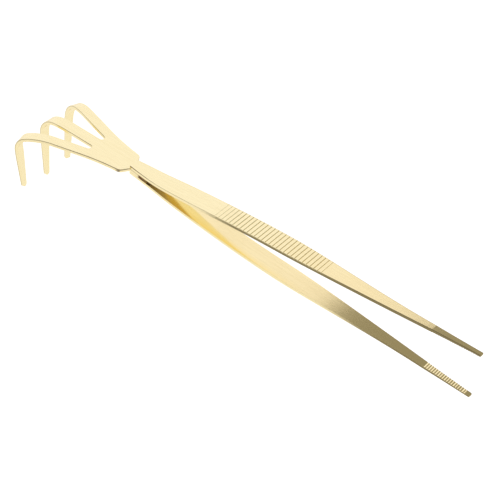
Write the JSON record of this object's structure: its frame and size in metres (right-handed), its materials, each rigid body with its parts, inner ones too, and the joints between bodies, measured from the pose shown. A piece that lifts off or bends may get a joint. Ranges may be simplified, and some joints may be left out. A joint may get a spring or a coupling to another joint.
{
  "type": "aquascaping tweezers",
  "caption": "Long straight spring tweezers with serrated jaws and a ribbed grip, and a bent rake with tines welded to the butt end.",
  "frame": {"origin": "centre of the welded stack where the two arms hold the rake's tang, half way through its thickness", "axes": "+X from the rake to the tips, +Y across the arms, +Z out of the upper arm's outer face; the tines point to -Z"},
  "size_m": [0.2172, 0.036, 0.0434],
  "materials": {
    "rake_plate": "polished gold-coloured plating on stainless steel sheet",
    "arm_strip": "satin gold-coloured plating on stainless spring strip, brushed along the arm",
    "weld_metal": "bare fused steel, hidden inside the stack"
  },
  "bodies": {
    "stack": {"rake": "rake_plate", "upper_arm_root": "arm_strip", "lower_arm_root": "arm_strip", "spot_welds": "weld_metal"},
    "upper_blade": {"upper_arm": "arm_strip"},
    "lower_blade": {"lower_arm": "arm_strip"}
  },
  "joints": [
    {"name": "upper_flex", "type": "hinge", "parent": "stack", "child": "upper_blade", "pos_m": [0.007, 0, 0.00135], "axis": [0, 1, 0], "range_deg": [0, 3.93], "stiffness_Nm_per_rad": 3},
    {"name": "lower_flex", "type": "hinge", "parent": "stack", "child": "lower_blade", "pos_m": [0.007, 0, -0.00135], "axis": [0, -1, 0], "range_deg": [0, 3.93], "stiffness_Nm_per_rad": 3}
  ],
  "couplings": [
    {"joint": "lower_flex", "follows": "upper_flex", "ratio": 1}
  ]
}
